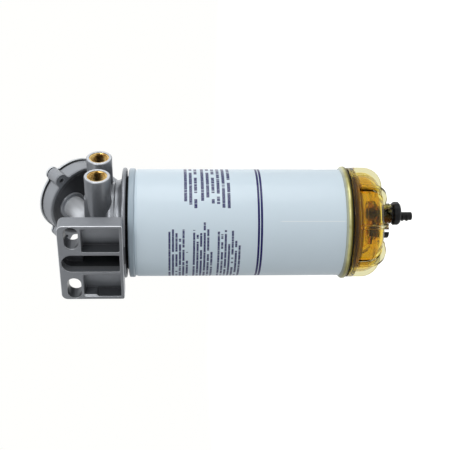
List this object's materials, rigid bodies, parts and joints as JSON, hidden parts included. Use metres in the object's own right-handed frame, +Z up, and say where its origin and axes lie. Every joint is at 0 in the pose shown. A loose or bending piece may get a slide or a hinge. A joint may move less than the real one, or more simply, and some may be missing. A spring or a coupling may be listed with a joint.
{
  "type": "fuel water separator",
  "caption": "Spin-on fuel filter and water separator: cast head with slotted bracket, side fuel ports and hand pump, painted can, ribbed see-through bowl and drain knob.",
  "frame": {"origin": "centre of the two mounting slots, on the bracket's mounting face", "axes": "+Z up along the filter axis with the bowl at the bottom, +Y out of the mounting face towards the wall it is bolted to, the two fuel ports open to -X"},
  "size_m": [0.124, 0.1507, 0.3802],
  "materials": {
    "cast_aluminium": "as-cast, shot-blasted",
    "brass": "machined",
    "zinc_steel": "bright zinc",
    "spring_steel": "drawn",
    "tin_plate": "tinned",
    "black_rubber": "matt",
    "can_paint": "gloss, white to pale blue with a deep blue double line",
    "plate_paint": "black phosphate",
    "filter_paper": "resin-treated paper",
    "yellow_zinc": "yellow passivated zinc",
    "amber_plastic": "clear amber",
    "black_plastic": "fine grain"
  },
  "bodies": {
    "head": {"filter_head": "cast_aluminium", "inlet_port_insert": "brass", "outlet_port_insert": "brass", "filter_stud": "zinc_steel", "pump_clamp_ring": "zinc_steel", "pump_clamp_screws": "zinc_steel", "pump_diaphragm": "black_rubber", "pump_spring": "spring_steel", "inlet_check_valve": "black_rubber", "outlet_check_valve": "black_rubber"},
    "button": {"pump_button": "black_plastic", "pump_backing_plate": "zinc_steel"},
    "gasket": {"filter_gasket": "black_rubber"},
    "filter": {"filter_can": "can_paint", "thread_plate": "plate_paint", "upper_end_cap": "tin_plate", "filter_media": "filter_paper", "centre_tube": "tin_plate", "lower_end_cap": "tin_plate", "element_spring": "spring_steel", "base_ring": "yellow_zinc"},
    "bowl_ring": {"bowl_seal": "black_rubber"},
    "bowl": {"water_bowl": "amber_plastic", "probe_plug": "black_plastic", "probe_seal": "black_rubber"},
    "drain_ring": {"drain_seal": "black_rubber"},
    "drain": {"drain_knob": "black_plastic"}
  },
  "joints": [
    {"name": "pump_press", "type": "slide", "parent": "head", "child": "button", "axis": [0, 0.7944, -0.6074], "range_m": [0, 0.006], "stiffness_N_per_m": 1500, "springref_m": -0.003, "deforming": ["pump_diaphragm", "pump_spring"]},
    {"name": "filter_lift", "type": "slide", "parent": "head", "child": "gasket", "axis": [0, 0, -1], "range_m": [0, 0.012]},
    {"name": "filter_turn", "type": "hinge", "parent": "gasket", "child": "filter", "pos_m": [0, -0.067, -0.0495], "axis": [0, 0, -1], "range_deg": [0, 2880]},
    {"name": "bowl_lift", "type": "slide", "parent": "filter", "child": "bowl_ring", "axis": [0, 0, -1], "range_m": [0, 0.009]},
    {"name": "bowl_turn", "type": "hinge", "parent": "bowl_ring", "child": "bowl", "pos_m": [0, -0.067, -0.271], "axis": [0, 0, -1], "range_deg": [0, 1080]},
    {"name": "drain_lift", "type": "slide", "parent": "bowl", "child": "drain_ring", "axis": [0, 0, -1], "range_m": [0, 0.005]},
    {"name": "drain_turn", "type": "hinge", "parent": "drain_ring", "child": "drain", "pos_m": [-0.011, -0.067, -0.3175], "axis": [0, 0, -1], "range_deg": [0, 720]}
  ],
  "couplings": [
    {"joint": "filter_turn", "follows": "filter_lift", "rad_per_m": 4189.4},
    {"joint": "bowl_turn", "follows": "bowl_lift", "rad_per_m": 2094.7},
    {"joint": "drain_turn", "follows": "drain_lift", "rad_per_m": 2513.8}
  ]
}
